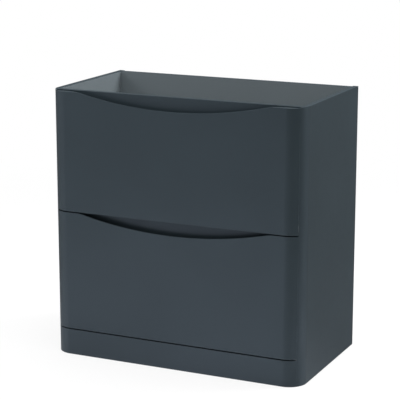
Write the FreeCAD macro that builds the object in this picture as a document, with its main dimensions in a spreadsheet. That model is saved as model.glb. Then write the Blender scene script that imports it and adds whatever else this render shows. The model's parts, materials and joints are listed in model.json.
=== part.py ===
import FreeCAD, Part
import math
import os

import Sketcher
from FreeCAD import Placement, Rotation, Vector

# A freestanding two-drawer vanity unit, in millimetres.
# It stands on the XY plane, front towards -Y, with the origin at the centre of its footprint.

doc = FreeCAD.newDocument("vanity_unit")

# Driving dimensions: name, value, meaning
SIZES = (
    ("width", 800, "overall width over the side panels"),
    ("depth", 448, "overall depth from the front faces to the rear edges"),
    ("height", 805, "overall height"),
    ("corner_radius", 55, "radius of the rounded front corners in plan"),
    ("side_board", 16, "thickness of the side panels"),
    ("front_board", 16, "thickness of the drawer fronts"),
    ("front_gap", 0.5, "gap between a closed drawer front and the side panels"),
    ("end_gap", 0.6, "how far a front stops short of the side panels' inner faces"),
    ("reveal", 3.5, "gap between plinth and lower front, and between the two fronts"),
    ("top_reveal", 2, "how far the upper front stays below the top"),
    ("plinth_height", 79, "top edge of the plinth"),
    ("scoop_width", 600, "chord of the finger pull in a front's top edge"),
    ("scoop_depth", 36, "depth of the finger pull at its middle"),
    ("lip_drop", 10, "fall of the finger pull's edge from front to back"),
    ("glide_height", 1, "height of the floor glides"),
    ("glide_radius", 7, "radius of the floor glides"),
    ("glide_inset", 64, "distance of the glides from the front and the rear"),
    ("rail_board", 16, "thickness of the front rails"),
    ("rail_height", 60, "height of the front rails"),
    ("rail_setback", 23, "distance of the front rails behind the front faces"),
    ("rail_overlap", 6, "how far the middle rail stands up behind the upper front"),
    ("base_board", 16, "thickness of the base panel"),
    ("support_board", 16, "thickness of the supports under the base panel"),
    ("back_board", 16, "thickness of the back rails"),
    ("back_inset", 10, "distance of the back rails from the side panels' rear edges"),
    ("back_height", 160, "height of the upper back rail"),
    ("foot_rail_height", 100, "height of the lower back rail"),
    ("wall_hole_radius", 4, "radius of the wall fixing holes"),
    ("wall_hole_spacing", 600, "distance between the wall fixing holes"),
    ("wall_hole_drop", 125, "distance of the wall fixing holes below the top"),
    ("cam_radius", 7.5, "radius of a cam lock"),
    ("cam_depth", 12.5, "length of a cam lock"),
    ("cam_setback", 24, "distance of a cam lock from its board's end"),
    ("cam_inset", 50, "distance of the base panel's cam locks from its long edges"),
    ("bolt_radius", 3, "radius of a cam bolt over its corners"),
    ("bolt_sides", 8, "flats round a cam bolt"),
    ("bolt_depth", 7, "length of a cam bolt in the side panel"),
    ("fit", 0.1, "clearance round cams and bolts"),
    ("drawer_board", 12, "thickness of the drawer boxes' boards"),
    ("box_rear_gap", 36, "gap between a closed drawer box and the back rails"),
    ("box_height", 200, "height of a drawer box"),
    ("box_clearance", 12, "gap under a drawer box"),
    ("bottom_board", 6, "thickness of a drawer bottom"),
    ("bottom_rise", 10, "height of a drawer bottom above the box's lower edge"),
    ("groove_depth", 5, "depth of the grooves that hold a drawer bottom"),
    ("groove_play", 0.2, "clearance of a drawer bottom in its grooves"),
    ("trap_width", 260, "width of the notch for the waste trap"),
    ("trap_depth", 170, "depth of the notch for the waste trap"),
    ("runner_height", 45, "height of a runner's cabinet member"),
    ("runner_space", 13, "thickness of a closed runner"),
    ("runner_rise", 45, "height of a runner's middle line above the box's lower edge"),
    ("runner_setback", 12, "distance of the runners behind the side panels' front edges"),
    ("runner_end_gap", 7.5, "how far the runners stop short of a drawer box's rear"),
    ("steel", 1.2, "sheet thickness of the runner members"),
    ("hook", 3, "inside height of the turned edges that hold the balls"),
    ("outer_depth", 9.6, "flange depth of the cabinet member"),
    ("middle_height", 32.4, "height of the middle member"),
    ("middle_offset", 3, "distance of the middle member from the side panel"),
    ("middle_depth", 8.4, "flange depth of the middle member"),
    ("inner_height", 22, "height of the drawer member"),
    ("inner_depth", 7, "flange depth of the drawer member"),
    ("cage_sheet", 0.6, "sheet thickness of the ball cages"),
    ("cage_length", 160, "length of the ball cages"),
    ("cage_play", 0.4, "gap between a ball cage and the turned edge beside it"),
    ("ball_play", 0.2, "clearance of a ball in its raceway and its seat"),
    ("balls_per_row", 6, "ball seats in each row of a cage"),
    ("ball_pitch", 26, "distance between the ball seats of a row"),
)

sheet = doc.addObject("Spreadsheet::Sheet", "Size")
for row, (alias, number, meaning) in enumerate(SIZES, start=1):
    sheet.set("A%d" % row, meaning)
    sheet.set("B%d" % row, str(number))
    sheet.setAlias("B%d" % row, alias)
doc.recompute()

# Levels and planes that several pieces share, as expressions of the sheet
HALF = "(Size.width / 2)"
INNER = "(Size.width / 2 - Size.side_board)"
FRONT = "(-Size.depth / 2)"
REAR = "(Size.depth / 2)"
FRONT_BACK = f"({FRONT} + Size.front_board)"
NOSE = f"({FRONT_BACK} + Size.front_gap)"
FRONT_END = f"({INNER} - Size.end_gap)"
RAIL_FACE = f"({FRONT} + Size.rail_setback)"
RAIL_BACK = f"({RAIL_FACE} + Size.rail_board)"
BACK_REAR = f"({REAR} - Size.back_inset)"
BACK_FACE = f"({BACK_REAR} - Size.back_board)"
BASE_TOP = "(Size.plinth_height + Size.base_board)"
BASE_MIDDLE = "(Size.plinth_height + Size.base_board / 2)"
FRONT_HEIGHT = "((Size.height - Size.top_reveal - Size.plinth_height - 2 * Size.reveal) / 2)"
LOWER_FRONT = "(Size.plinth_height + Size.reveal)"
UPPER_FRONT = f"({LOWER_FRONT} + {FRONT_HEIGHT} + Size.reveal)"
MIDDLE_RAIL_TOP = f"({UPPER_FRONT} + Size.rail_overlap)"
LOWER_BOX = f"({BASE_TOP} + Size.box_clearance)"
UPPER_BOX = f"({MIDDLE_RAIL_TOP} + Size.box_clearance)"
BOX_HALF = f"({INNER} - Size.runner_space)"
BOX_INNER = f"({BOX_HALF} - Size.drawer_board)"
BOX_FACE = f"({FRONT_BACK} + Size.drawer_board)"
BOX_REAR = f"({BACK_FACE} - Size.box_rear_gap)"
TRAP_HALF = "(Size.trap_width / 2)"
TRAP_FRONT = f"({BOX_REAR} - Size.trap_depth)"
RUNNER_FRONT = f"({NOSE} + Size.runner_setback)"
RUNNER_REAR = f"({BOX_REAR} - Size.runner_end_gap)"
RUNNER_LENGTH = f"({RUNNER_REAR} - {RUNNER_FRONT})"
RUNNER_MIDDLE = f"(({RUNNER_FRONT} + {RUNNER_REAR}) / 2)"

LEFT, RIGHT = -1, 1
SIDES = {"left": LEFT, "right": RIGHT}
BORE_LEAD = 1  # how far a cutter starts outside the board
SAME_SPOT = 1e-6  # coordinates closer than this are the same

# Turns a shape made along +Z so that it points along another axis
TURN = {
    "x": Rotation(Vector(0, 1, 0), 90),
    "-x": Rotation(Vector(0, 1, 0), -90),
    "y": Rotation(Vector(1, 0, 0), -90),
    "-y": Rotation(Vector(1, 0, 0), 90),
    "z": Rotation(),
    "-z": Rotation(Vector(1, 0, 0), 180),
}

nodes = []


def value(expression):
    """The present number of an expression of the sheet."""
    return float(sheet.evalExpression(expression))


def keep(part, label):
    """Names a finished sub-part and lists it for writing."""
    part.Label = label
    nodes.append(part)
    return part


def place(part, corner, rotation=None):
    """Turns a part and ties its base point to expressions of the sheet."""
    part.Placement = Placement(Vector(), rotation or Rotation())
    for axis, expression in zip("xyz", corner):
        part.setExpression("Placement.Base." + axis, expression)
    return part


def block(name, low, high):
    """A rectangular block between two corners."""
    part = doc.addObject("Part::Box", name)
    for size, start, end in zip(("Length", "Width", "Height"), low, high):
        part.setExpression(size, f"({end}) - ({start})")
    return place(part, low)


def rod(name, radius, length, start, axis):
    """A cylinder from a start point along an axis."""
    part = doc.addObject("Part::Cylinder", name)
    part.setExpression("Radius", radius)
    part.setExpression("Height", length)
    return place(part, start, TURN[axis])


def bar(name, radius, length, start, axis):
    """A many-sided bar from a start point along an axis."""
    part = doc.addObject("Part::Prism", name)
    part.setExpression("Polygon", "Size.bolt_sides")
    part.setExpression("Circumradius", radius)
    part.setExpression("Height", length)
    return place(part, start, TURN[axis])


def fuse(name, parts):
    """Several solids joined into one."""
    if len(parts) == 1:
        return parts[0]
    joined = doc.addObject("Part::MultiFuse", name)
    joined.Shapes = parts
    return joined


def cut(name, base, tools):
    """A base with all the tools taken away."""
    part = doc.addObject("Part::Cut", name)
    part.Base = base
    part.Tool = fuse(name + "_tools", tools)
    return part


def common(name, base, tool):
    """What two solids share."""
    part = doc.addObject("Part::Common", name)
    part.Base = base
    part.Tool = tool
    return part


def group(name, parts):
    """Separate solids of one kind, kept together."""
    part = doc.addObject("Part::Compound", name)
    part.Links = parts
    return part


def across(side, near, far):
    """The lower and the higher X of a span on one side of the middle."""
    if side == LEFT:
        return f"-({far})", f"-({near})"
    return near, far


def on_side(side, expression):
    """An X distance from the middle, on the left or on the right."""
    return f"({side} * ({expression}))"


def outward(side):
    """The axis that points away from the middle on one side."""
    return "x" if side == RIGHT else "-x"


def bind(sketch, kind, places, expression):
    """Adds a dimension to a sketch and ties it to an expression."""
    index = sketch.addConstraint(Sketcher.Constraint(kind, *places, value(expression)))
    sketch.setExpression("Constraints[%d]" % index, expression)


def plan_outline():
    """The unit's plan: a rectangle with two rounded front corners."""
    sketch = doc.addObject("Sketcher::SketchObject", "plan_outline")
    half, front, rear, radius = (value(e) for e in (HALF, FRONT, REAR, "Size.corner_radius"))
    middle = front + radius
    turn = half - radius
    quarter = math.pi / 2
    left_arc = Part.Circle(Vector(-turn, middle, 0), Vector(0, 0, 1), radius)
    right_arc = Part.Circle(Vector(turn, middle, 0), Vector(0, 0, 1), radius)
    sketch.addGeometry([
        Part.LineSegment(Vector(-half, rear, 0), Vector(-half, middle, 0)),
        Part.ArcOfCircle(left_arc, 2 * quarter, 3 * quarter),
        Part.LineSegment(Vector(-turn, front, 0), Vector(turn, front, 0)),
        Part.ArcOfCircle(right_arc, 3 * quarter, 4 * quarter),
        Part.LineSegment(Vector(half, middle, 0), Vector(half, rear, 0)),
        Part.LineSegment(Vector(half, rear, 0), Vector(-half, rear, 0)),
    ], False)
    start, end, origin, vertical_axis = 1, 2, -1, -2
    left, left_turn, face, right_turn, right, back = range(6)
    for first, second in ((left, left_turn), (left_turn, face), (face, right_turn), (right_turn, right)):
        sketch.addConstraint(Sketcher.Constraint("Tangent", first, end, second, start))
    for first, second in ((right, back), (back, left)):
        sketch.addConstraint(Sketcher.Constraint("Coincident", first, end, second, start))
    for line in (left, right):
        sketch.addConstraint(Sketcher.Constraint("Vertical", line))
    sketch.addConstraint(Sketcher.Constraint("Horizontal", face))
    sketch.addConstraint(Sketcher.Constraint("Equal", left_turn, right_turn))
    sketch.addConstraint(Sketcher.Constraint("Symmetric", back, start, back, end, vertical_axis))
    bind(sketch, "Radius", (left_turn,), "Size.corner_radius")
    bind(sketch, "DistanceX", (back, end, back, start), "Size.width")
    bind(sketch, "DistanceY", (origin, start, back, start), REAR)
    bind(sketch, "DistanceY", (origin, start, face, start), FRONT)
    return sketch


def extrude(name, sketch, length):
    """A sketch drawn out along its own normal."""
    part = doc.addObject("Part::Extrusion", name)
    part.Base = sketch
    part.DirMode = "Normal"
    part.Solid = True
    part.setExpression("LengthFwd", length)
    return part


def scoop(name, top):
    """The cutter of a finger pull: a wide arc in the front face, drawn out backwards and downwards."""
    radius = "((Size.scoop_width ^ 2 / 4 + Size.scoop_depth ^ 2) / (2 * Size.scoop_depth))"
    centre = f"({top} - Size.scoop_depth + {radius})"
    rim = f"({top} + 2 * Size.lip_drop)"
    sketch = doc.addObject("Sketcher::SketchObject", name + "_arc")
    low = Vector(0, value(top) - value("Size.scoop_depth"), 0)
    reach = (value(radius) ** 2 - (value(centre) - value(rim)) ** 2) ** 0.5
    left = Vector(-reach, value(rim), 0)
    right = Vector(reach, value(rim), 0)
    sketch.addGeometry([Part.Arc(left, low, right), Part.LineSegment(right, left)], False)
    arc, rim_line, start, end, middle, origin, vertical_axis = 0, 1, 1, 2, 3, -1, -2
    sketch.addConstraint(Sketcher.Constraint("Coincident", arc, end, rim_line, start))
    sketch.addConstraint(Sketcher.Constraint("Coincident", arc, start, rim_line, end))
    sketch.addConstraint(Sketcher.Constraint("Horizontal", rim_line))
    sketch.addConstraint(Sketcher.Constraint("PointOnObject", arc, middle, vertical_axis))
    bind(sketch, "Radius", (arc,), radius)
    bind(sketch, "DistanceY", (origin, start, arc, middle), centre)
    bind(sketch, "DistanceY", (origin, start, rim_line, start), rim)
    place(sketch, ("0", FRONT, "0"), TURN["-y"])
    part = doc.addObject("Part::Extrusion", name)
    part.Base = sketch
    part.DirMode = "Custom"
    part.setExpression("Dir", "vector(0; Size.front_board; -Size.lip_drop)")
    part.Solid = True
    part.setExpression("LengthFwd", "2 * Size.front_board + 2 * Size.lip_drop")
    part.setExpression("LengthRev", "Size.front_board")
    return part


def closed_sketch(body, name, corners, plane_role):
    """A closed sketch of straight lines on one of a body's planes, each corner tied to the sheet."""
    sketch = body.newObject("Sketcher::SketchObject", name)
    plane = [feature for feature in body.Origin.OriginFeatures if feature.Role == plane_role][0]
    sketch.AttachmentSupport = [(plane, "")]
    sketch.MapMode = "FlatFace"
    points = [Vector(value(u), value(v), 0) for u, v in corners]
    count = len(points)
    lines = [Part.LineSegment(points[i], points[(i + 1) % count]) for i in range(count)]
    sketch.addGeometry(lines, False)
    start, end, origin = 1, 2, -1
    for i in range(count):
        sketch.addConstraint(Sketcher.Constraint("Coincident", i, end, (i + 1) % count, start))
    for i, (u, v) in enumerate(corners):
        bind(sketch, "DistanceX", (origin, start, i, start), u)
        bind(sketch, "DistanceY", (origin, start, i, start), v)
    return sketch


def rolled_section(name, corners, length):
    """A sheet-metal section drawn out evenly to both sides of the XZ plane of its own body."""
    body = doc.addObject("PartDesign::Body", name)
    sketch = closed_sketch(body, name + "_section", corners, "XZ_Plane")
    pad = body.newObject("PartDesign::Pad", name + "_pad")
    pad.Profile = sketch
    pad.Midplane = True
    pad.setExpression("Length", length)
    doc.recompute()
    return body


def same_spot(first_u, first_v, second_u, second_v):
    """Whether two points of a section fall together."""
    return abs(first_u - second_u) < SAME_SPOT and abs(first_v - second_v) < SAME_SPOT


def bend(body, name, corners, radius):
    """Rounds the long edges of a section at the given corners."""
    base = body.Tip
    spots = [(value(u), value(v)) for u, v in corners]
    names = []
    for index, edge in enumerate(base.Shape.Edges, start=1):
        first, last = edge.Vertexes[0].Point, edge.Vertexes[-1].Point
        along = same_spot(first.x, first.z, last.x, last.z)
        if along and any(same_spot(first.x, first.z, u, v) for u, v in spots):
            names.append("Edge%d" % index)
    fillet = body.newObject("PartDesign::Fillet", name)
    fillet.Base = (base, names)
    fillet.setExpression("Radius", radius)
    doc.recompute()


def hooked_channel(name, offset, height, depth):
    """A channel open to the drawer, with turned edges that keep the balls in. U runs from the panel, V up."""
    web, inside = offset, f"({offset} + Size.steel)"
    rim, lip = f"({offset} + {depth})", f"({offset} + {depth} - Size.steel)"
    top, under = f"({height} / 2)", f"({height} / 2 - Size.steel)"
    edge = f"({height} / 2 - Size.steel - Size.hook)"
    upper = [(inside, under), (lip, under), (lip, edge), (rim, edge), (rim, top), (web, top)]
    lower = [(u, f"-{v}") for u, v in reversed(upper)]
    body = rolled_section(name, lower + upper, RUNNER_LENGTH)
    outer = [(u, sign + top) for u in (web, rim) for sign in ("", "-")]
    bend(body, name + "_bends", outer, "2 * Size.steel")
    return body


def plain_channel(name):
    """The drawer member: a channel open to the side panel."""
    rim, web = "(Size.runner_space - Size.inner_depth)", "(Size.runner_space)"
    inside = "(Size.runner_space - Size.steel)"
    top, under = "(Size.inner_height / 2)", "(Size.inner_height / 2 - Size.steel)"
    upper = [(web, top), (rim, top), (rim, under), (inside, under)]
    lower = [(u, f"-{v}") for u, v in reversed(upper)]
    body = rolled_section(name, upper + lower, RUNNER_LENGTH)
    bend(body, name + "_bends", [(web, top), (web, "-" + top)], "2 * Size.steel")
    return body


def raceway(level):
    """Where a ball cage runs: its web, its flanges' end and height, and the ball's radius and place."""
    if level == "outer":
        near, far = "Size.steel", "Size.middle_offset"
        end = "(Size.outer_depth - Size.steel - Size.cage_play)"
        above, below = "(Size.runner_height / 2 - Size.steel)", "(Size.middle_height / 2)"
    else:
        near, far = "(Size.middle_offset + Size.steel)", "(Size.runner_space - Size.inner_depth)"
        end = "(Size.middle_offset + Size.middle_depth - Size.steel - Size.cage_play)"
        above, below = "(Size.middle_height / 2 - Size.steel)", "(Size.inner_height / 2)"
    web = f"(({near} + {far} - Size.cage_sheet) / 2)"
    row = f"(({above} + {below}) / 2)"
    radius = f"(({above} - {below}) / 2 - Size.ball_play)"
    ball = f"(({web} + Size.cage_sheet + {end}) / 2)"
    return web, end, row, radius, ball


def seat_sketch(body, name, level):
    """The square seat of a cage's first ball, on the body's XY plane."""
    radius, ball = raceway(level)[3:]
    half = f"({radius} + Size.ball_play / 2)"
    first = "(-(Size.balls_per_row - 1) / 2 * Size.ball_pitch)"
    low_u, high_u = f"({ball} - {half})", f"({ball} + {half})"
    low_y, high_y = f"({first} - {half})", f"({first} + {half})"
    corners = [(low_u, low_y), (high_u, low_y), (high_u, high_y), (low_u, high_y)]
    return closed_sketch(body, name, corners, "XY_Plane")


def ball_cage(name, level):
    """A thin channel with a row of ball seats in each flange."""
    web, end, row = raceway(level)[:3]
    inside = f"({web} + Size.cage_sheet)"
    over, under = f"({row} + Size.cage_sheet / 2)", f"({row} - Size.cage_sheet / 2)"
    upper = [(inside, under), (end, under), (end, over), (web, over)]
    lower = [(u, f"-{v}") for u, v in reversed(upper)]
    body = rolled_section(name, lower + upper, "Size.cage_length")
    seat = seat_sketch(body, name + "_seat", level)
    pocket = body.newObject("PartDesign::Pocket", name + "_seat_cut")
    pocket.Profile = seat
    pocket.Type = "ThroughAll"
    pocket.Midplane = True
    doc.recompute()
    pattern = body.newObject("PartDesign::LinearPattern", name + "_seats")
    pattern.Originals = [pocket]
    pattern.Direction = (seat, ["V_Axis"])
    pattern.setExpression("Length", "(Size.balls_per_row - 1) * Size.ball_pitch")
    pattern.setExpression("Occurrences", "Size.balls_per_row")
    body.Tip = pattern
    doc.recompute()
    return body


def runner_place(part, side, level):
    """Sets a runner piece against one side panel at a drawer's runner level."""
    turn = Rotation() if side == LEFT else Rotation(Vector(0, 0, 1), 180)
    return place(part, (on_side(side, INNER), RUNNER_MIDDLE, level), turn)


def carcass_joints():
    """Each cam joint: its board, the bolt's Y and Z, and which way the cam looks."""
    rail_y = f"({RAIL_FACE} + Size.rail_board / 2)"
    back_y = f"({BACK_FACE} + Size.back_board / 2)"
    yield "top_front_rail", rail_y, "(Size.height - Size.rail_height / 2)", "y"
    yield "middle_front_rail", rail_y, f"({MIDDLE_RAIL_TOP} - Size.rail_height / 2)", "y"
    yield "base_panel", f"({NOSE} + Size.cam_inset)", BASE_MIDDLE, "-z"
    yield "base_panel", f"({BACK_REAR} - Size.cam_inset)", BASE_MIDDLE, "-z"
    yield "upper_back_rail", back_y, "(Size.height - Size.back_height / 2)", "y"
    yield "lower_back_rail", back_y, f"({BASE_TOP} + Size.foot_rail_height / 2)", "y"


def cam(name, side, y, z, looks, board, play="0"):
    """A cam lock, or with play its bore, sunk into a board from the face that it looks at."""
    x = on_side(side, f"{INNER} - Size.cam_setback")
    depth = "Size.cam_depth"
    if looks == "y":
        start = (x, f"({y} + {board} / 2 - {depth})", z)
    else:
        start = (x, y, f"({z} - {board} / 2 + {depth})")
    return rod(name, f"Size.cam_radius + {play}", f"{depth} + {play}", start, looks)


def cam_bolt(name, side, y, z):
    """A cam bolt, from a cam lock's rim through the board's end into a side panel."""
    start = (on_side(side, f"{INNER} - Size.cam_setback + Size.cam_radius + Size.fit"), y, z)
    length = "Size.cam_setback - Size.cam_radius - Size.fit + Size.bolt_depth"
    return bar(name, "Size.bolt_radius", length, start, outward(side))


def bolt_bore(name, side, y, z):
    """The bore of a cam bolt, from the middle of the cam lock's bore into a side panel."""
    start = (on_side(side, f"{INNER} - Size.cam_setback"), y, z)
    length = "Size.cam_setback + Size.bolt_depth + Size.fit"
    return bar(name, "Size.bolt_radius + Size.fit", length, start, outward(side))


# Thickness of each board that carries cam locks
CAM_BOARDS = {
    "top_front_rail": "Size.rail_board",
    "middle_front_rail": "Size.rail_board",
    "base_panel": "Size.base_board",
    "upper_back_rail": "Size.back_board",
    "lower_back_rail": "Size.back_board",
}


def build_carcass(envelope):
    """The fixed cabinet with its cam joints, supports, plinth and glides."""
    middle_rail_bottom = f"{MIDDLE_RAIL_TOP} - Size.rail_height"
    boards = {
        "top_front_rail": ((RAIL_FACE, "Size.height - Size.rail_height"), (RAIL_BACK, "Size.height")),
        "middle_front_rail": ((RAIL_FACE, middle_rail_bottom), (RAIL_BACK, MIDDLE_RAIL_TOP)),
        "base_panel": ((NOSE, "Size.plinth_height"), (BACK_REAR, BASE_TOP)),
        "upper_back_rail": ((BACK_FACE, "Size.height - Size.back_height"), (BACK_REAR, "Size.height")),
        "lower_back_rail": ((BACK_FACE, BASE_TOP), (BACK_REAR, f"{BASE_TOP} + Size.foot_rail_height")),
    }
    board_bores = {name: [] for name in boards}
    panel_bores = {LEFT: [], RIGHT: []}
    cams = []
    bolts = []
    for index, (board, y, z, looks) in enumerate(carcass_joints()):
        for side in (LEFT, RIGHT):
            mark = f"{board}_{index}_{side}"
            thickness = CAM_BOARDS[board]
            cams.append(cam("cam_" + mark, side, y, z, looks, thickness))
            bolts.append(cam_bolt("bolt_" + mark, side, y, z))
            board_bores[board].append(cam("cam_bore_" + mark, side, y, z, looks, thickness, "Size.fit"))
            bore = bolt_bore("bolt_bore_" + mark, side, y, z)
            board_bores[board].append(bore)
            panel_bores[side].append(bore)
    for side in (LEFT, RIGHT):
        hole = (on_side(side, "Size.wall_hole_spacing / 2"), f"{BACK_FACE} - {BORE_LEAD}",
                "Size.height - Size.wall_hole_drop")
        board_bores["upper_back_rail"].append(rod(f"wall_hole_{side}", "Size.wall_hole_radius",
                                                  f"Size.back_board + 2 * {BORE_LEAD}", hole, "y"))
    for name, (low, high) in boards.items():
        blank = block(name + "_blank", (f"-{INNER}",) + low, (INNER,) + high)
        keep(cut(name, blank, board_bores[name]), name)
    keep(group("cam_locks", cams), "cam_locks")
    keep(group("cam_bolts", bolts), "cam_bolts")

    supports = {
        "front_base_support": (NOSE, f"{NOSE} + Size.support_board"),
        "rear_base_support": (f"{BACK_REAR} - Size.support_board", BACK_REAR),
    }
    for name, (near, far) in supports.items():
        low, high = (f"-{INNER}", near, "Size.glide_height"), (INNER, far, "Size.plinth_height")
        keep(block(name, low, high), name)

    low, high = (f"-{FRONT_END}", FRONT, "Size.glide_height"), (FRONT_END, NOSE, "Size.plinth_height")
    keep(common("plinth_front", envelope, block("plinth_blank", low, high)), "plinth_front")

    glides = []
    for side in (LEFT, RIGHT):
        for index, y in enumerate((f"{FRONT} + Size.glide_inset", f"{REAR} - Size.glide_inset")):
            spot = (on_side(side, f"{HALF} - Size.side_board / 2"), y, "0")
            glides.append(rod(f"glide_{side}_{index}", "Size.glide_radius", "Size.glide_height", spot, "z"))
    keep(group("floor_glides", glides), "floor_glides")
    return panel_bores


def build_runners(drawer, level):
    """The members and ball cages of the two runners of one drawer."""
    for word, side in SIDES.items():
        name = f"{drawer}_runner_{word}"
        outer = hooked_channel(name + "_outer", "0", "Size.runner_height", "Size.outer_depth")
        middle = hooked_channel(name + "_mid", "Size.middle_offset", "Size.middle_height",
                                "Size.middle_depth")
        inner = plain_channel(name + "_inner")
        for member, body in (("cabinet", outer), ("middle", middle), ("drawer", inner)):
            keep(runner_place(body, side, level), f"{name}_{member}")
    for which in ("outer", "inner"):
        label = f"{drawer}_{which}_ball_cages"
        cages = []
        for word, side in SIDES.items():
            cages.append(runner_place(ball_cage(f"{label}_{word}", which), side, level))
        keep(group(label, cages), label)


def build_front(label, envelope, bottom):
    """A drawer front with rounded ends and a finger pull in its top edge."""
    top = f"({bottom} + {FRONT_HEIGHT})"
    blank = block(label + "_blank", (f"-{FRONT_END}", FRONT, bottom), (FRONT_END, FRONT_BACK, top))
    rounded = common(label + "_rounded", envelope, blank)
    keep(cut(label, rounded, [scoop(label + "_scoop", top)]), label)


def build_box(drawer, bottom, with_trap):
    """A drawer box: grooved sides and inner front, bottom in the grooves, back on the bottom."""
    top = f"({bottom} + Size.box_height)"
    bed = f"({bottom} + Size.bottom_rise)"
    floor = f"({bed} + Size.bottom_board)"
    tongue = "(Size.groove_depth - Size.groove_play)"
    groove_low, groove_high = f"{bed} - Size.groove_play", f"{floor} + Size.groove_play"
    for word, side in SIDES.items():
        label = f"{drawer}_drawer_side_{word}"
        low_x, high_x = across(side, BOX_INNER, BOX_HALF)
        board = block(label + "_blank", (low_x, FRONT_BACK, bottom), (high_x, BOX_REAR, top))
        low_x, high_x = across(side, f"{BOX_INNER} - {BORE_LEAD}", f"{BOX_INNER} + Size.groove_depth")
        groove_front = f"{BOX_FACE} - Size.groove_depth"
        groove = block(label + "_groove", (low_x, groove_front, groove_low),
                       (high_x, f"{BOX_REAR} + {BORE_LEAD}", groove_high))
        keep(cut(label, board, [groove]), label)

    label = f"{drawer}_drawer_inner_front"
    board = block(label + "_blank", (f"-{BOX_INNER}", FRONT_BACK, bottom), (BOX_INNER, BOX_FACE, top))
    low = (f"-{BOX_INNER} - {BORE_LEAD}", f"{BOX_FACE} - Size.groove_depth", groove_low)
    high = (f"{BOX_INNER} + {BORE_LEAD}", f"{BOX_FACE} + {BORE_LEAD}", groove_high)
    groove = block(label + "_groove", low, high)
    keep(cut(label, board, [groove]), label)

    label = f"{drawer}_drawer_bottom"
    low = (f"-({BOX_INNER} + {tongue})", f"{BOX_FACE} - {tongue}", bed)
    high = (f"{BOX_INNER} + {tongue}", BOX_REAR, floor)
    back_face = f"({BOX_REAR} - Size.drawer_board)"
    if not with_trap:
        keep(block(label, low, high), label)
        label = f"{drawer}_drawer_back"
        keep(block(label, (f"-{BOX_INNER}", back_face, floor), (BOX_INNER, BOX_REAR, top)), label)
        return
    notch = block(label + "_notch", (f"-{TRAP_HALF}", TRAP_FRONT, f"{bed} - {BORE_LEAD}"),
                  (TRAP_HALF, f"{BOX_REAR} + {BORE_LEAD}", f"{floor} + {BORE_LEAD}"))
    keep(cut(label, block(label + "_blank", low, high), [notch]), label)
    cheek = f"({TRAP_HALF} + Size.drawer_board)"
    trap_face = f"({TRAP_FRONT} - Size.drawer_board)"
    for word, side in SIDES.items():
        label = f"{drawer}_drawer_back_{word}"
        low_x, high_x = across(side, cheek, BOX_INNER)
        keep(block(label, (low_x, back_face, floor), (high_x, BOX_REAR, top)), label)
        label = f"{drawer}_drawer_trap_cheek_{word}"
        low_x, high_x = across(side, TRAP_HALF, cheek)
        keep(block(label, (low_x, trap_face, floor), (high_x, BOX_REAR, top)), label)
    label = f"{drawer}_drawer_trap_front"
    keep(block(label, (f"-{TRAP_HALF}", trap_face, floor), (TRAP_HALF, TRAP_FRONT, top)), label)


def build_side_panels(envelope, bores):
    """The two side panels, whose front edges continue the rounded corners."""
    for word, side in SIDES.items():
        label = f"side_panel_{word}"
        low_x, high_x = across(side, INNER, HALF)
        blank = block(label + "_blank", (low_x, NOSE, "Size.glide_height"), (high_x, REAR, "Size.height"))
        keep(cut(label, common(label + "_rounded", envelope, blank), bores[side]), label)


def build():
    """Builds every sub-part of the unit."""
    envelope = extrude("envelope", plan_outline(), "Size.height")
    build_side_panels(envelope, build_carcass(envelope))
    drawers = (("upper", UPPER_FRONT, UPPER_BOX, True), ("lower", LOWER_FRONT, LOWER_BOX, False))
    for drawer, front_bottom, box_bottom, with_trap in drawers:
        build_front(f"{drawer}_drawer_front", envelope, front_bottom)
        build_box(drawer, box_bottom, with_trap)
        build_runners(drawer, f"({box_bottom} + Size.runner_rise)")
    doc.recompute()


def check_and_write():
    """Stops on any failed object, then writes each sub-part to its own file."""
    for part in doc.Objects:
        if "Invalid" in part.State or "Error" in part.State:
            raise RuntimeError(f"{part.Label} failed: {part.State}")
    for part in nodes:
        shape = part.Shape
        if shape.isNull() or not shape.isValid() or not shape.Solids:
            raise RuntimeError(f"{part.Label} has no valid solid")
    os.makedirs("parts", exist_ok=True)
    for part in nodes:
        part.Shape.exportStep(f"parts/{part.Label}.step")
        print(f"{part.Label}: {len(part.Shape.Solids)} solids, {part.Shape.Volume:.0f} mm3")


build()
check_and_write()
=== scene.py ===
import json
import math
from itertools import product

import bmesh
import bpy
from mathutils import Matrix, Vector


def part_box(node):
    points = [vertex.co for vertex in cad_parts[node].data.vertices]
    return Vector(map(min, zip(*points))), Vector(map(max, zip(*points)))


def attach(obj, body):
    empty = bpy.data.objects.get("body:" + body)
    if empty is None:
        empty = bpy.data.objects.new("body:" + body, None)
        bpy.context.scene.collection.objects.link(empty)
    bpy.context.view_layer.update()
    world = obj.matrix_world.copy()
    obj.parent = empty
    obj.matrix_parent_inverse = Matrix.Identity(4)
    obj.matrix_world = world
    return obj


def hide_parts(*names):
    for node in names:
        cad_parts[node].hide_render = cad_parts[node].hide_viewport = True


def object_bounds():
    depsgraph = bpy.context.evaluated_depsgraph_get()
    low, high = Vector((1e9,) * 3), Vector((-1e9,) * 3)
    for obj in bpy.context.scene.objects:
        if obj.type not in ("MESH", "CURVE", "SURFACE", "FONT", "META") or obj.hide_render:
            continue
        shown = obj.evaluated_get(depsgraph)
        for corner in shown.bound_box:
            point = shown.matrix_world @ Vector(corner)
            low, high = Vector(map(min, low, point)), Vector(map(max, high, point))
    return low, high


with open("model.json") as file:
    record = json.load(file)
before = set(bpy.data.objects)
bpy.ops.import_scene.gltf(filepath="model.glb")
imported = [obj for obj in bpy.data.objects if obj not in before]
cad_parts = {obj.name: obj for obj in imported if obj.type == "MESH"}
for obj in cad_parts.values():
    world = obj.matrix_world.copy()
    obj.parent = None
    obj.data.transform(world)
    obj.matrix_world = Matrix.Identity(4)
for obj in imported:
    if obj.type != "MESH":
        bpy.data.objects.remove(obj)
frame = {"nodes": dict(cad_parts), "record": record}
cad_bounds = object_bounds()

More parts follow.
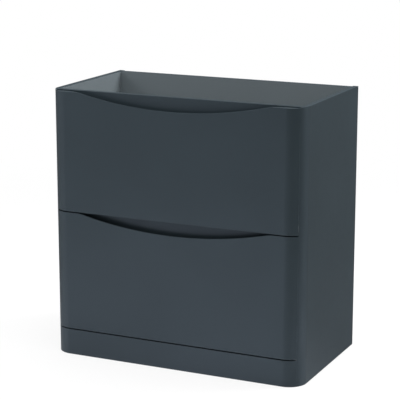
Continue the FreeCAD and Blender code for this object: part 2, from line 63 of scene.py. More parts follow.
# The looks of a freestanding two-drawer vanity unit, in metres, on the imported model's own frame.

MM = 0.001
SIDES = {"left": -1, "right": 1}
DRAWERS = ("upper", "lower")

# Forms that the boxes of the nodes don't give
CORNER_RADIUS = 55 * MM
FRONT_BOARD = 16 * MM
SCOOP_WIDTH = 600 * MM
SCOOP_DEPTH = 36 * MM
LIP_DROP = 10 * MM
ARRIS = 0.7 * MM
ARRIS_STEPS = 6
CORNER_STEPS = 28
SCOOP_STEPS = 110
BOARD_ARRIS = 0.5 * MM
STEEL_ARRIS = 0.15 * MM
CAGE_ARRIS = 0.1 * MM
SOFT_EDGE_STEPS = 2
HARD_EDGE = math.radians(40)
SHARP_ANGLE = math.radians(28)
WELD_REACH = 0.005 * MM
FLAT_TOLERANCE = 0.02 * MM
# Sections across a front that agree to this many digits of a metre count as one
COLUMN_DIGITS = 7
# Largest share of a front's thickness that the rounding of an edge takes
THIN_SHARE = 0.4
# Room that a ridge in a front's top edge needs to both faces, in roundings
RIDGE_ROOM = 2.2
# The thin ends of the fronts and the noses of the side panels reach a little past their solids, to close up
TIP_STRETCH = 0.5 * MM
TIP_LENGTH = 8 * MM
TIP_REACH = 0.2 * MM
NOSE_STRETCH = 0.25 * MM
# Edge rounding at a side panel's thin nose, and how fast it grows with the distance from it
NOSE_ARRIS = 0.1 * MM
NOSE_GROWTH = 0.25

# Small hardware
STEEL = 1.2 * MM
RUNNER_SPACE = 13 * MM
RUNNER_SCREWS = (-0.4, -0.05, 0.37)
FLAT_HEAD, FLAT_HEAD_HEIGHT = 3.6 * MM, 0.45 * MM
RUNNER_HEAD, RUNNER_HEAD_HEIGHT = 3.4 * MM, 1.6 * MM
FRONT_HEAD, FRONT_HEAD_HEIGHT = 4 * MM, 2.2 * MM
FRONT_SCREW_X = (-280 * MM, -90 * MM, 90 * MM, 280 * MM)
FRONT_SCREW_ROWS = (0.22, 0.8)
ROUND_SIDES = 32
# A low screw head from its bearing face up, as shares of its radius and height
HEAD_PROFILE = ((1, 0), (1, 0.35), (0.93, 0.7), (0.8, 0.92), (0.62, 1))
# Arm and width of its recess as shares of its radius, and depth as a share of its height
HEAD_RECESS = (0.5, 0.2, 0.6)
# Size of a recess at its bottom, as a share of its size at the mouth
RECESS_TAPER = 0.6
CAM_RADIUS = 7.5 * MM
CAM_DEPTH = 12.4 * MM
CAM_SETBACK = 24 * MM
CAM_INSET = 50 * MM
# Steps of a cam's rim, inwards from its radius and down from the board's face
CAM_RIM = ((0, 0.9 * MM), (0.5 * MM, 0.3 * MM), (1.2 * MM, 0.2 * MM))
# Arm, width and depth of its slot
CAM_SLOT = (5 * MM, 2 * MM, 3 * MM)
GLIDE_RADIUS = 7 * MM
GLIDE_SIDES = 40
# A glide from the middle of its dish to its top, as shares of radius and height
GLIDE_PROFILE = ((0.3, 0.4), (0.62, 0.3), (0.72, 0), (0.88, 0), (0.96, 0.25), (1, 0.7), (1, 1))
BALLS_PER_ROW = 6
BALL_PITCH = 26 * MM
BALL_DIVISIONS = 2
# Raceways: height of the ball rows from the runner's middle, their distance from the panel, and ball radius
RACEWAYS = {"outer": (18.75 * MM, 5.2 * MM, 2.35 * MM), "inner": (13 * MM, 7.6 * MM, 1.8 * MM)}

# The unit's own box, from the frame
UNIT_LOW, UNIT_HIGH = (Vector(corner) for corner in cad_bounds)
CORNER_X = UNIT_HIGH.x - CORNER_RADIUS
CORNER_Y = UNIT_LOW.y + CORNER_RADIUS

# The part of a noise value's range that is used
NOISE_LOW, NOISE_HIGH = 0.3, 0.7


def material(name):
    """A new node material with its principled shader and its node tree."""
    made = bpy.data.materials.new(name)
    made.use_nodes = True
    return made, made.node_tree, made.node_tree.nodes["Principled BSDF"]


def object_coordinates(tree, stretch=(1, 1, 1)):
    """Object coordinates, stretched along each axis."""
    coordinates = tree.nodes.new("ShaderNodeTexCoord")
    mapping = tree.nodes.new("ShaderNodeMapping")
    mapping.inputs["Scale"].default_value = stretch
    tree.links.new(coordinates.outputs["Object"], mapping.inputs["Vector"])
    return mapping.outputs["Vector"]


def noise(tree, vector, scale, detail=3.0, roughness=0.5):
    """A noise texture's value."""
    texture = tree.nodes.new("ShaderNodeTexNoise")
    texture.inputs["Scale"].default_value = scale
    texture.inputs["Detail"].default_value = detail
    texture.inputs["Roughness"].default_value = roughness
    tree.links.new(vector, texture.inputs["Vector"])
    return texture.outputs["Fac"]


def spread(tree, value, low, high, into):
    """Maps the middle of a noise value onto a range and links it to a socket."""
    span = tree.nodes.new("ShaderNodeMapRange")
    span.inputs["From Min"].default_value = NOISE_LOW
    span.inputs["From Max"].default_value = NOISE_HIGH
    span.inputs["To Min"].default_value = low
    span.inputs["To Max"].default_value = high
    tree.links.new(value, span.inputs["Value"])
    tree.links.new(span.outputs["Result"], into)


def tint(tree, value, dark, light, into):
    """Mixes two near colours by a noise value, links the result to a socket and returns it."""
    ramp = tree.nodes.new("ShaderNodeValToRGB")
    ramp.color_ramp.elements[0].position = NOISE_LOW
    ramp.color_ramp.elements[0].color = (*dark, 1)
    ramp.color_ramp.elements[1].position = NOISE_HIGH
    ramp.color_ramp.elements[1].color = (*light, 1)
    tree.links.new(value, ramp.inputs["Fac"])
    tree.links.new(ramp.outputs["Color"], into)
    return ramp.outputs["Color"]


def relief(tree, value, strength, depth, shader):
    """Turns a noise value into a fine surface relief."""
    bump = tree.nodes.new("ShaderNodeBump")
    bump.inputs["Strength"].default_value = strength
    bump.inputs["Distance"].default_value = depth
    tree.links.new(value, bump.inputs["Height"])
    tree.links.new(bump.outputs["Normal"], shader.inputs["Normal"])


def shades(colour, amount):
    """A slightly darker and a slightly lighter version of a colour."""
    return [c * (1 - amount) for c in colour], [c * (1 + amount) for c in colour]


def formula(tree, operation, *values):
    """A math node on sockets and plain numbers, as a socket."""
    node = tree.nodes.new("ShaderNodeMath")
    node.operation = operation
    for socket, value in zip(node.inputs, values):
        if isinstance(value, bpy.types.NodeSocket):
            tree.links.new(value, socket)
        else:
            socket.default_value = value
    return node.outputs["Value"]


def mapped(tree, value, low, high, style="LINEAR"):
    """A value's place between two ends, from zero to one, as a socket."""
    span = tree.nodes.new("ShaderNodeMapRange")
    span.interpolation_type = style
    span.inputs["From Min"].default_value = low
    span.inputs["From Max"].default_value = high
    tree.links.new(value, span.inputs["Value"])
    return span.outputs["Result"]


def axes(tree, output):
    """X, Y and Z of a texture coordinate output, as sockets."""
    coordinates = tree.nodes.new("ShaderNodeTexCoord")
    parts = tree.nodes.new("ShaderNodeSeparateXYZ")
    tree.links.new(coordinates.outputs[output], parts.inputs["Vector"])
    return [parts.outputs[axis] for axis in "XYZ"]


def mixed(tree, factor, first, second):
    """A mix of two shaders, as a socket."""
    mix = tree.nodes.new("ShaderNodeMixShader")
    tree.links.new(factor, mix.inputs["Fac"])
    tree.links.new(first, mix.inputs[1])
    tree.links.new(second, mix.inputs[2])
    return mix.outputs["Shader"]


def sprayed_lacquer(name, colour, sheen, roughness):
    """Satin lacquer: an even tint with faint clouds, uneven gloss, orange peel and a tinted reflection."""
    made, tree, shader = material(name)
    vector = object_coordinates(tree)
    shader.inputs["Specular Tint"].default_value = (*sheen, 1)
    clouds = noise(tree, vector, scale=5, detail=4)
    tint(tree, clouds, *shades(colour, amount=0.05), shader.inputs["Base Color"])
    gloss = noise(tree, vector, scale=40, detail=3)
    spread(tree, gloss, low=roughness - 0.01, high=roughness + 0.015, into=shader.inputs["Roughness"])
    peel = noise(tree, vector, scale=140, detail=1)
    relief(tree, peel, strength=0.02, depth=0.03 * MM, shader=shader)
    return made


def melamine(name, colour, band=None, roughness=0.5):
    """Melamine-faced board: fine speckle, pressed paper relief, and a band colour on the unit's top edge."""
    made, tree, shader = material(name)
    vector = object_coordinates(tree)
    speckle = noise(tree, vector, scale=900, detail=4, roughness=0.7)
    face = tint(tree, speckle, *shades(colour, amount=0.08), shader.inputs["Base Color"])
    if band:
        height = axes(tree, "Object")[2]
        mix = tree.nodes.new("ShaderNodeMixRGB")
        tree.links.new(formula(tree, "GREATER_THAN", height, UNIT_HIGH.z - BOARD_ARRIS), mix.inputs["Fac"])
        tree.links.new(face, mix.inputs["Color1"])
        mix.inputs["Color2"].default_value = (*band, 1)
        tree.links.new(mix.outputs["Color"], shader.inputs["Base Color"])
    gloss = noise(tree, vector, scale=90, detail=3)
    spread(tree, gloss, low=roughness - 0.05, high=roughness + 0.05, into=shader.inputs["Roughness"])
    paper = noise(tree, vector, scale=1500, detail=2)
    relief(tree, paper, strength=0.12, depth=0.08 * MM, shader=shader)
    return made


def metal(name, colour, roughness, scale, depth, stretch=(1, 1, 1)):
    """Metal with a drawn, stamped or cast surface, given by how its noise is stretched."""
    made, tree, shader = material(name)
    vector = object_coordinates(tree, stretch)
    shader.inputs["Metallic"].default_value = 1
    grain = noise(tree, vector, scale, detail=4, roughness=0.6)
    tint(tree, grain, *shades(colour, amount=0.1), shader.inputs["Base Color"])
    spread(tree, grain, low=roughness * 0.8, high=roughness * 1.25, into=shader.inputs["Roughness"])
    relief(tree, grain, strength=0.15, depth=depth, shader=shader)
    return made


def moulded_plastic(name, colour):
    """Dull moulded plastic with a fine spark-eroded grain."""
    made, tree, shader = material(name)
    vector = object_coordinates(tree)
    clouds = noise(tree, vector, scale=300, detail=3)
    tint(tree, clouds, *shades(colour, amount=0.12), shader.inputs["Base Color"])
    gloss = noise(tree, vector, scale=800, detail=2)
    spread(tree, gloss, low=0.5, high=0.62, into=shader.inputs["Roughness"])
    grain = noise(tree, vector, scale=1800, detail=2)
    relief(tree, grain, strength=0.2, depth=0.05 * MM, shader=shader)
    return made


SLATE = (0.0272, 0.0386, 0.0443)
GREY = (0.149, 0.174, 0.187)
SHEEN = (0.73, 0.79, 0.93)
LIGHT_GREY = (0.2, 0.228, 0.242)
# The satin surfaces stay rougher than 0.275, as the render treats smoother ones as mirrors
LACQUER = sprayed_lacquer("satin_lacquer", SLATE, SHEEN, roughness=0.29)
CARCASS = melamine("grey_melamine", GREY)
BANDED = melamine("banded_melamine", GREY, band=SLATE)
DRAWER = melamine("light_grey_melamine", LIGHT_GREY)
RUNNER = metal("zinc_plated_strip", (0.62, 0.63, 0.64), roughness=0.36, scale=1200, depth=0.02 * MM,
               stretch=(1, 0.02, 1))
CAGE = metal("stamped_strip", (0.45, 0.46, 0.47), roughness=0.38, scale=1500, depth=0.02 * MM,
             stretch=(1, 0.1, 1))
BALL = metal("polished_balls", (0.75, 0.75, 0.76), roughness=0.1, scale=2500, depth=0.004 * MM)
SCREW = metal("zinc_plated_screws", (0.6, 0.6, 0.6), roughness=0.36, scale=1500, depth=0.02 * MM)
CAM = metal("zinc_casting", (0.5, 0.5, 0.51), roughness=0.42, scale=900, depth=0.05 * MM)
GLIDE = moulded_plastic("dark_plastic", (0.045, 0.045, 0.046))

# The studio has an even sky as light. Reflections see a cool surround instead: a ring of soft boxes as
# levels by compass degrees, 0 in front of the unit and 90 to its right, a bright ceiling and a pale floor
SKY = 0.38
COOL = (0.93, 0.99, 1.08)
SURROUND = ((-180, 0.083), (-140, 0.083), (-100, 0.25), (-75, 0.48), (-55, 0.7), (-35, 0.57), (4, 0.11),
            (45, 0.11), (72, 0.09), (92, 0.28), (110, 0.46), (130, 0.26), (155, 0.13))
OVERHEAD = 1
OVERHEAD_RISE = (0.32, 0.68)
NEAR_FLOOR = 0.8
NEAR_FLOOR_FALL = (-0.42, -0.75)
FLOOR_HALF = 14
FLOOR_PAINT = 0.9
FLOOR_SHARE = 0.8
SHADOW_REACH = (0.8, 3)
# Pools of light on the floor that only reflections see: X, Y, radius and level
POOLS = (
    (-0.4, -1.05, 1.8, 0.5),
    (0.95, -0.25, 0.75, 0.42),
    (0.1, -0.38, 0.45, 0.32),
    (0.7, 0.6, 0.9, 0.045),
)
# Soft lamps: name, place, aim, size and watts
LAMPS = (
    ("ceiling_lamp", (0.2, -0.2, 3.2), (0, 0, 0.4), 3, 113),
    ("side_lamp", (1.8, 1.2, 2.4), (0, 0, 0.6), 1.4, 63),
    ("left_lamp", (-2.4, -1.3, 2.2), (0, 0, 0.7), 0.8, 22),
)

# The camera of the photo's view: a spot that it looks at, the way back from there to it, and its lens
CAMERA_TARGET = Vector((0.16224, -0.37943, 0.56076))
CAMERA_BACK = Vector((0.41209, -0.88284, 0.22533))
CAMERA_DISTANCE = 4.12714
SENSOR_WIDTH = 36
LENS = 136.55
FARTHEST_SEEN = 100

NODE_MATERIALS = {
    "lacquer": LACQUER,
    "carcass_melamine": CARCASS,
    "drawer_melamine": DRAWER,
    "runner_steel": RUNNER,
    "cage_steel": CAGE,
    "screw_steel": SCREW,
    "cam_zinc": CAM,
    "glide_plastic": GLIDE,
}


def add_piece(name, mesh, body, materials):
    """Links a mesh into the scene as a piece that rides on a body."""
    piece = bpy.data.objects.new(name, mesh)
    bpy.context.scene.collection.objects.link(piece)
    for made in materials:
        mesh.materials.append(made)
    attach(piece, body)
    return piece


def finish_mesh(name, work):
    """A smooth-shaded mesh from a working mesh, with outward faces and sharp edges where it turns hard."""
    bmesh.ops.recalc_face_normals(work, faces=work.faces)
    mesh = bpy.data.meshes.new(name)
    work.to_mesh(mesh)
    work.free()
    mesh.shade_smooth()
    mesh.set_sharp_from_angle(angle=SHARP_ANGLE)
    return mesh


def weigh_normals(piece):
    """Keeps large flat faces flat up to their rounded edges."""
    modifier = piece.modifiers.new("flat_faces", "WEIGHTED_NORMAL")
    modifier.keep_sharp = True


def add_row(work, points):
    """New vertices at some points."""
    return [work.verts.new(point) for point in points]


def join_rows(work, rows):
    """Joins each closed row of vertices to the next one with four-sided faces."""
    for near, far in zip(rows, rows[1:]):
        count = len(near)
        for i in range(count):
            j = (i + 1) % count
            work.faces.new((near[i], near[j], far[j], far[i]))


def loft(work, loops):
    """Joins a series of closed loops with faces and caps both ends."""
    rows = [add_row(work, loop) for loop in loops]
    join_rows(work, rows)
    work.faces.new(rows[0])
    work.faces.new(rows[-1])


def round_corner(before, corner, after, radius, steps):
    """Points of an arc that rounds one corner of a flat outline."""
    back = (before - corner).normalized()
    ahead = (after - corner).normalized()
    half_angle = back.angle(ahead) / 2
    reach = radius / math.tan(half_angle)
    middle = corner + (back + ahead).normalized() * (radius / math.sin(half_angle))
    start = corner + back * reach - middle
    turn = back.cross(ahead)
    sweep = (math.pi - 2 * half_angle) * (-1 if turn > 0 else 1)
    points = []
    for step in range(steps + 1):
        angle = sweep * step / steps
        points.append(middle + Matrix.Rotation(angle, 2) @ start)
    return points


def round_plan_y(x):
    """Y of the unit's front outline at a given X."""
    over = abs(x) - CORNER_X
    if over <= 0:
        return UNIT_LOW.y
    return CORNER_Y - math.sqrt(CORNER_RADIUS ** 2 - over ** 2)


def front_columns(end, extra=()):
    """X of the sections across a front: even over the flat part, by angle round the two ends."""
    last = math.asin((end - CORNER_X) / CORNER_RADIUS)
    bends = [CORNER_X + CORNER_RADIUS * math.sin(last * i / CORNER_STEPS) for i in range(CORNER_STEPS + 1)]
    flat = [CORNER_X * (2 * i / SCOOP_STEPS - 1) for i in range(1, SCOOP_STEPS)]
    marks = bends + [-x for x in bends] + flat + list(extra)
    return sorted(set(round(x, COLUMN_DIGITS) for x in marks))


def scoop_edge(x, top):
    """Height of the finger pull's edge in the front face at a given X."""
    radius = (SCOOP_WIDTH ** 2 / 4 + SCOOP_DEPTH ** 2) / (2 * SCOOP_DEPTH)
    return top - SCOOP_DEPTH + radius - math.sqrt(radius ** 2 - x ** 2)


def tip_reach(x, end):
    """How far a front's thin end reaches back past its board, to close up to the side panel's nose."""
    share = max(0, 1 - (end - abs(x)) / TIP_LENGTH)
    return TIP_REACH * share * share


def front_section(x, end, back, bottom, top, scooped):
    """The rounded outline of a front at one X, in Y and Z."""
    face = round_plan_y(x)
    back += tip_reach(x, end)
    radius = min(ARRIS, THIN_SHARE * (back - face))
    edge = scoop_edge(x, top) if scooped else top + LIP_DROP
    face_top = min(top, edge)
    back_top = min(top, edge - LIP_DROP)
    crease = UNIT_LOW.y + FRONT_BOARD * (edge - top) / LIP_DROP
    room = RIDGE_ROOM * radius
    if face + room < crease < back - room:
        ridge = Vector((crease, top))
    else:
        ridge = Vector(((face + back) / 2, (face_top + back_top) / 2))
    corners = [Vector((face, bottom)), Vector((back, bottom)), Vector((back, back_top)), ridge,
               Vector((face, face_top))]
    outline = []
    for i, corner in enumerate(corners):
        if corner is ridge:
            outline.append(corner)
            continue
        after = corners[(i + 1) % len(corners)]
        outline += round_corner(corners[i - 1], corner, after, radius, ARRIS_STEPS)
    return [Vector((x, point.x, point.y)) for point in outline]


def make_front(node, body, scooped):
    """A front with rounded ends and soft edges, with or without a finger pull, in place of its solid."""
    low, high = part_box(node)
    top = high.z
    scoop_ends = [SCOOP_WIDTH / 2, -SCOOP_WIDTH / 2] if scooped else []
    end = high.x + TIP_STRETCH
    columns = front_columns(end, scoop_ends)
    work = bmesh.new()
    loft(work, [front_section(x, end, high.y, low.z, top, scooped) for x in columns])
    mesh = finish_mesh(node + "_lacquered", work)
    piece = add_piece(node + "_lacquered", mesh, body, [LACQUER])
    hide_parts(node)
    weigh_normals(piece)


def panel_plan(side):
    """Plan of a side panel from its nose on: rounded front edge and soft rear edges."""
    inner_low, inner_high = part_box("side_panel_right")
    inner, outer = inner_low.x, inner_high.x
    nose, rear = inner_low.y - NOSE_STRETCH, inner_high.y
    first = math.acos((CORNER_Y - nose) / CORNER_RADIUS)
    points = [Vector((inner, nose))]
    for step in range(CORNER_STEPS + 1):
        angle = first + (math.pi / 2 - first) * step / CORNER_STEPS
        across, ahead = CORNER_RADIUS * math.sin(angle), CORNER_RADIUS * math.cos(angle)
        points.append(Vector((CORNER_X + across, CORNER_Y - ahead)))
    outer_rear = Vector((outer, rear))
    inner_rear = Vector((inner, rear))
    points += round_corner(points[-1], outer_rear, inner_rear, ARRIS, ARRIS_STEPS)
    points += round_corner(outer_rear, inner_rear, points[0], ARRIS, ARRIS_STEPS)
    return [Vector((side * point.x, point.y)) for point in points]


def inset_directions(points):
    """For each point of a closed outline, the move that shifts both of its edges inwards by one unit."""
    area = sum(a.x * b.y - b.x * a.y for a, b in zip(points, points[1:] + points[:1]))
    turn = 1 if area > 0 else -1
    moves = []
    for i, point in enumerate(points):
        before = (point - points[i - 1]).normalized()
        after = (points[(i + 1) % len(points)] - point).normalized()
        first = Vector((-before.y, before.x)) * turn
        second = Vector((-after.y, after.x)) * turn
        moves.append((first + second) / (1 + first.dot(second)))
    return moves


def make_side_panel(word):
    """A side panel with soft edges: lacquer outside and on its edges, melamine on its inner face."""
    node = f"side_panel_{word}"
    low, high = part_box(node)
    plan = panel_plan(SIDES[word])
    moves = inset_directions(plan)
    nose = plan[0]
    limits = [min(ARRIS, NOSE_ARRIS + NOSE_GROWTH * (point - nose).length) for point in plan]
    loops = []
    for end, sign in ((low.z, 1), (high.z, -1)):
        rounds = []
        for step in range(ARRIS_STEPS + 1):
            angle = math.pi / 2 * step / ARRIS_STEPS
            loop = []
            for point, move, limit in zip(plan, moves, limits):
                inset = point + move * limit * (1 - math.sin(angle))
                loop.append(Vector((inset.x, inset.y, end + sign * ARRIS * (1 - math.cos(angle)))))
            rounds.append(loop)
        loops += rounds if sign > 0 else rounds[::-1]
    work = bmesh.new()
    loft(work, loops)
    mesh = finish_mesh(node + "_boards", work)
    piece = add_piece(node + "_lacquered", mesh, "carcass", [LACQUER, CARCASS])
    inner = min(abs(low.x), abs(high.x))
    for face in mesh.polygons:
        flat_inside = all(abs(abs(mesh.vertices[v].co.x) - inner) < FLAT_TOLERANCE for v in face.vertices)
        face.material_index = 1 if flat_inside else 0
    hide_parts(node)
    weigh_normals(piece)


def soften(node, width):
    """Breaks the hard edges of a carried-over solid."""
    piece = frame["nodes"][node]
    weld = piece.modifiers.new("join_faces", "WELD")
    weld.merge_threshold = WELD_REACH
    bevel = piece.modifiers.new("soft_edges", "BEVEL")
    bevel.width = width
    bevel.segments = SOFT_EDGE_STEPS
    bevel.limit_method = "ANGLE"
    bevel.angle_limit = HARD_EDGE
    bevel.use_clamp_overlap = True
    weigh_normals(piece)


def stand(spot, axis):
    """A matrix that moves a shape made along +Z to a spot and points it along an axis."""
    return Matrix.Translation(spot) @ Vector(axis).to_track_quat("Z", "Y").to_matrix().to_4x4()


def circle(radius, height, count):
    """Points of a level circle."""
    angles = [2 * math.pi * i / count for i in range(count)]
    return [Vector((radius * math.cos(a), radius * math.sin(a), height)) for a in angles]


def turned(work, profile, matrix, count):
    """A turned piece: circles of a profile of radius and height, from bottom to top, capped at both ends."""
    loft(work, [[matrix @ point for point in circle(radius, height, count)] for radius, height in profile])


def cross_outline(arm, width, height):
    """Outline of a cross-shaped recess."""
    half = width / 2
    quarter = [(arm, -half), (arm, half), (half, half)]
    points = []
    for turns in range(4):
        turn = Matrix.Rotation(turns * math.pi / 2, 2)
        points += [turn @ Vector(point) for point in quarter]
    return [Vector((point.x, point.y, height)) for point in points]


def driven(work, profile, matrix, arm, width, depth):
    """A turned piece with a cross recess for a screwdriver in its flat top."""
    rows = []
    for radius, height in profile:
        rows.append(add_row(work, [matrix @ point for point in circle(radius, height, ROUND_SIDES)]))
    join_rows(work, rows)
    work.faces.new(rows[0])
    top = profile[-1][1]
    mouth = cross_outline(arm, width, top)
    bottom = cross_outline(arm * RECESS_TAPER, width * RECESS_TAPER, top - depth)
    rim, bed = (add_row(work, [matrix @ point for point in outline]) for outline in (mouth, bottom))
    join_rows(work, [rim, bed])
    work.faces.new(bed)
    border = []
    for loop in (rows[-1], rim):
        for i, vertex in enumerate(loop):
            border.append(work.edges.get((vertex, loop[(i + 1) % len(loop)])))
    bmesh.ops.triangle_fill(work, edges=border, use_beauty=True)


def pan_head(work, spot, axis, radius, height):
    """A low screw head with a rounded rim and a cross recess."""
    profile = [(across * radius, up * height) for across, up in HEAD_PROFILE]
    arm, width, depth = HEAD_RECESS
    driven(work, profile, stand(spot, axis), arm * radius, width * radius, depth * height)


def runner_heights():
    """Height of each drawer's runners, from their solids."""
    heights = {}
    for drawer in DRAWERS:
        low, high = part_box(f"{drawer}_runner_left_cabinet")
        heights[drawer] = (low.z + high.z) / 2
    return heights


def make_runner_screws():
    """Flat heads in the cabinet members and low heads in the drawer members."""
    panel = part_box("side_panel_right")[0].x
    for drawer, height in runner_heights().items():
        low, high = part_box(f"{drawer}_runner_left_cabinet")
        middle = (low.y + high.y) / 2
        rows = [middle + share * (high.y - low.y) for share in RUNNER_SCREWS]
        fixed, moving = bmesh.new(), bmesh.new()
        for side in SIDES.values():
            for y in rows:
                spot = Vector((side * (panel - STEEL), y, height))
                pan_head(fixed, spot, (-side, 0, 0), FLAT_HEAD, FLAT_HEAD_HEIGHT)
                spot = Vector((side * (panel - RUNNER_SPACE + STEEL), y, height))
                pan_head(moving, spot, (side, 0, 0), RUNNER_HEAD, RUNNER_HEAD_HEIGHT)
        for work, body, name in ((fixed, "carcass", "cabinet"), (moving, f"{drawer}_drawer", "drawer")):
            label = f"{drawer}_{name}_runner_screws"
            add_piece(label, finish_mesh(label, work), body, [SCREW])


def make_front_screws():
    """Screws from inside each drawer box into its front."""
    for drawer in DRAWERS:
        low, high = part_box(f"{drawer}_drawer_inner_front")
        work = bmesh.new()
        for x in FRONT_SCREW_X:
            for share in FRONT_SCREW_ROWS:
                spot = Vector((x, high.y, low.z + share * (high.z - low.z)))
                pan_head(work, spot, (0, 1, 0), FRONT_HEAD, FRONT_HEAD_HEIGHT)
        label = f"{drawer}_front_screws"
        add_piece(label, finish_mesh(label, work), f"{drawer}_drawer", [SCREW])


def cam_places():
    """Face spot and direction of every cam lock, from the boards that carry them."""
    for node in ("top_front_rail", "middle_front_rail", "upper_back_rail", "lower_back_rail"):
        low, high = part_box(node)
        for side in SIDES.values():
            yield Vector((side * (high.x - CAM_SETBACK), high.y, (low.z + high.z) / 2)), (0, 1, 0)
    low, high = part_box("base_panel")
    for side in SIDES.values():
        for y in (low.y + CAM_INSET, high.y - CAM_INSET):
            yield Vector((side * (high.x - CAM_SETBACK), y, low.z)), (0, 0, -1)


def make_cams():
    """Cam locks with a chamfered rim and a cross slot, level with the boards, in place of their solids."""
    profile = [(CAM_RADIUS, -CAM_DEPTH)] + [(CAM_RADIUS - inwards, -down) for inwards, down in CAM_RIM]
    work = bmesh.new()
    for spot, axis in cam_places():
        driven(work, profile, stand(spot, axis), *CAM_SLOT)
    mesh = finish_mesh("cam_locks_slotted", work)
    piece = add_piece("cam_locks_slotted", mesh, "carcass", [CAM])
    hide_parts("cam_locks")


def make_glides():
    """Dished floor glides with a rounded foot, in place of their solids."""
    low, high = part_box("floor_glides")
    radius, height = GLIDE_RADIUS, high.z
    profile = [(across * radius, up * height) for across, up in GLIDE_PROFILE]
    work = bmesh.new()
    for x in (low.x + radius, high.x - radius):
        for y in (low.y + radius, high.y - radius):
            turned(work, profile, Matrix.Translation((x, y, 0)), GLIDE_SIDES)
    mesh = finish_mesh("floor_glides_moulded", work)
    piece = add_piece("floor_glides_moulded", mesh, "carcass", [GLIDE])
    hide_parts("floor_glides")


def make_balls():
    """The bearing balls in the seats of every cage."""
    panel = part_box("side_panel_right")[0].x
    for drawer, height in runner_heights().items():
        for level, (row, offset, radius) in RACEWAYS.items():
            low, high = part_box(f"{drawer}_{level}_ball_cages")
            middle = (low.y + high.y) / 2
            work = bmesh.new()
            for side, up, index in product(SIDES.values(), (-1, 1), range(BALLS_PER_ROW)):
                y = middle + (index - (BALLS_PER_ROW - 1) / 2) * BALL_PITCH
                place = Matrix.Translation((side * (panel - offset), y, height + up * row))
                bmesh.ops.create_icosphere(work, subdivisions=BALL_DIVISIONS, radius=radius, matrix=place)
            label = f"{drawer}_{level}_balls"
            add_piece(label, finish_mesh(label, work), f"{drawer}_{level}_cages", [BALL])


def dress_nodes():
    """Gives every carried-over node its material and soft edges."""
    slots = {part["node"]: part["material_slot"] for part in frame["record"]["subparts"]}
    arrises = {"runner_steel": STEEL_ARRIS, "cage_steel": CAGE_ARRIS}
    for node, piece in frame["nodes"].items():
        slot = slots[node]
        piece.data.materials.clear()
        piece.data.materials.append(BANDED if node == "upper_back_rail" else NODE_MATERIALS[slot])
        if piece.hide_render:
            continue
        soften(node, arrises.get(slot, BOARD_ARRIS))


def background(tree, level, colour=(1, 1, 1)):
    """A background shader of some level, white unless a colour is given."""
    shader = tree.nodes.new("ShaderNodeBackground")
    shader.inputs["Strength"].default_value = level
    shader.inputs["Color"].default_value = (*colour, 1)
    return shader


def ring_level(tree, x, y):
    """Level of the surround by compass bearing, from the stops of SURROUND."""
    bearing = formula(tree, "ARCTAN2", x, formula(tree, "MULTIPLY", y, -1))
    ramp_node = tree.nodes.new("ShaderNodeValToRGB")
    ramp = ramp_node.color_ramp
    first = SURROUND[0][1]
    for index, (degrees, level) in enumerate(SURROUND):
        place = (degrees + 180) / 360
        stop = ramp.elements[0] if index == 0 else ramp.elements.new(place)
        stop.position = place
        stop.color = (level, level, level, 1)
    last = ramp.elements[len(ramp.elements) - 1]
    last.position = 1
    last.color = (first, first, first, 1)
    tree.links.new(mapped(tree, bearing, -math.pi, math.pi), ramp_node.inputs["Fac"])
    return ramp_node.outputs["Color"]


def make_world():
    """White for the camera and through glass, the cool surround for reflections, an even sky as light."""
    world = bpy.data.worlds.new("studio")
    bpy.context.scene.world = world
    world.use_nodes = True
    tree = world.node_tree
    tree.nodes.clear()
    path = tree.nodes.new("ShaderNodeLightPath")
    x, y, z = axes(tree, "Generated")
    ring = background(tree, 1, COOL)
    tree.links.new(ring_level(tree, x, y), ring.inputs["Strength"])
    overhead = background(tree, OVERHEAD, COOL)
    upper = mapped(tree, z, *OVERHEAD_RISE)
    surround = mixed(tree, upper, ring.outputs["Background"], overhead.outputs["Background"])
    near_floor = background(tree, NEAR_FLOOR, COOL)
    lower = mapped(tree, z, *NEAR_FLOOR_FALL)
    surround = mixed(tree, lower, surround, near_floor.outputs["Background"])
    white = background(tree, 1).outputs["Background"]
    shader = background(tree, SKY).outputs["Background"]
    shader = mixed(tree, path.outputs["Is Glossy Ray"], shader, surround)
    shader = mixed(tree, path.outputs["Is Transmission Ray"], shader, white)
    shader = mixed(tree, path.outputs["Is Camera Ray"], shader, white)
    output = tree.nodes.new("ShaderNodeOutputWorld")
    tree.links.new(shader, output.inputs["Surface"])


def distance(tree, x, y):
    """Distance over the floor from a spot, as a socket."""
    floor_x, floor_y, _ = axes(tree, "Object")
    across = formula(tree, "POWER", formula(tree, "SUBTRACT", floor_x, x), 2)
    ahead = formula(tree, "POWER", formula(tree, "SUBTRACT", floor_y, y), 2)
    return formula(tree, "SQRT", formula(tree, "ADD", across, ahead))


def floor_pools(tree):
    """Reflections see the surround through the floor, and on it the pools of light."""
    level = 0
    for x, y, radius, strength in POOLS:
        fade = mapped(tree, distance(tree, x, y), radius, 0, "SMOOTHSTEP")
        level = formula(tree, "MULTIPLY_ADD", fade, strength, level)
    glow = tree.nodes.new("ShaderNodeEmission")
    glow.inputs["Color"].default_value = (*COOL, 1)
    tree.links.new(level, glow.inputs["Strength"])
    clear = tree.nodes.new("ShaderNodeBsdfTransparent")
    both = tree.nodes.new("ShaderNodeAddShader")
    tree.links.new(glow.outputs["Emission"], both.inputs[0])
    tree.links.new(clear.outputs["BSDF"], both.inputs[1])
    return both.outputs["Shader"]


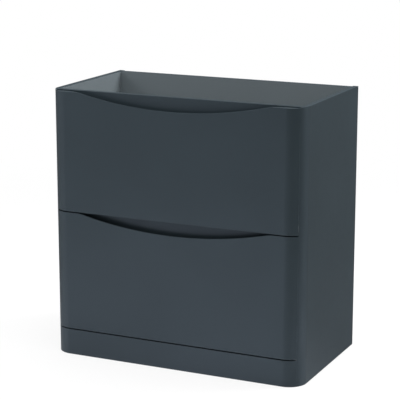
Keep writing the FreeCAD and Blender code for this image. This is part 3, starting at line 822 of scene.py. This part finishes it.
def make_floor():
    """A large white floor that keeps a faint shadow."""
    mesh = bpy.data.meshes.new("floor")
    corners = [(x * FLOOR_HALF, y * FLOOR_HALF, 0) for x, y in ((-1, -1), (1, -1), (1, 1), (-1, 1))]
    mesh.from_pydata(corners, [], [(0, 1, 2, 3)])
    floor = bpy.data.objects.new("floor", mesh)
    bpy.context.scene.collection.objects.link(floor)
    made = bpy.data.materials.new("white_floor")
    made.use_nodes = True
    tree = made.node_tree
    tree.nodes.clear()
    path = tree.nodes.new("ShaderNodeLightPath")
    paint = tree.nodes.new("ShaderNodeBsdfDiffuse")
    paint.inputs["Color"].default_value = (FLOOR_PAINT, FLOOR_PAINT, FLOOR_PAINT, 1)
    glow = tree.nodes.new("ShaderNodeEmission")
    seen = formula(tree, "MAXIMUM", path.outputs["Is Camera Ray"], path.outputs["Is Transmission Ray"])
    far = mapped(tree, distance(tree, 0, 0), *SHADOW_REACH, "SMOOTHSTEP")
    share = formula(tree, "MULTIPLY", seen, formula(tree, "MULTIPLY_ADD", far, 1 - FLOOR_SHARE, FLOOR_SHARE))
    shader = mixed(tree, share, paint.outputs["BSDF"], glow.outputs["Emission"])
    shader = mixed(tree, path.outputs["Is Glossy Ray"], shader, floor_pools(tree))
    output = tree.nodes.new("ShaderNodeOutputMaterial")
    tree.links.new(shader, output.inputs["Surface"])
    mesh.materials.append(made)


def add_lamp(name, place, aim, size, watts):
    """A square soft lamp that points at a spot, and that reflections don't see."""
    lamp = bpy.data.lights.new(name, "AREA")
    lamp.size = size
    lamp.energy = watts
    holder = bpy.data.objects.new(name, lamp)
    holder.location = place
    holder.visible_glossy = False
    holder.rotation_euler = (Vector(aim) - Vector(place)).to_track_quat("-Z", "Y").to_euler()
    bpy.context.scene.collection.objects.link(holder)


def make_camera():
    """The camera of the photo's view."""
    camera = bpy.data.cameras.new("camera")
    camera.sensor_width = SENSOR_WIDTH
    camera.lens = LENS
    camera.clip_end = FARTHEST_SEEN
    holder = bpy.data.objects.new("camera", camera)
    holder.location = CAMERA_TARGET + CAMERA_BACK.normalized() * CAMERA_DISTANCE
    holder.rotation_euler = CAMERA_BACK.to_track_quat("Z", "Y").to_euler()
    bpy.context.scene.collection.objects.link(holder)
    bpy.context.scene.camera = holder


for drawer in DRAWERS:
    make_front(f"{drawer}_drawer_front", f"{drawer}_drawer", True)
make_front("plinth_front", "carcass", False)
for word in SIDES:
    make_side_panel(word)
make_cams()
make_glides()
make_runner_screws()
make_front_screws()
make_balls()
dress_nodes()

make_world()
make_floor()
for lamp in LAMPS:
    add_lamp(*lamp)
make_camera()
bpy.context.scene.view_settings.view_transform = "Standard"
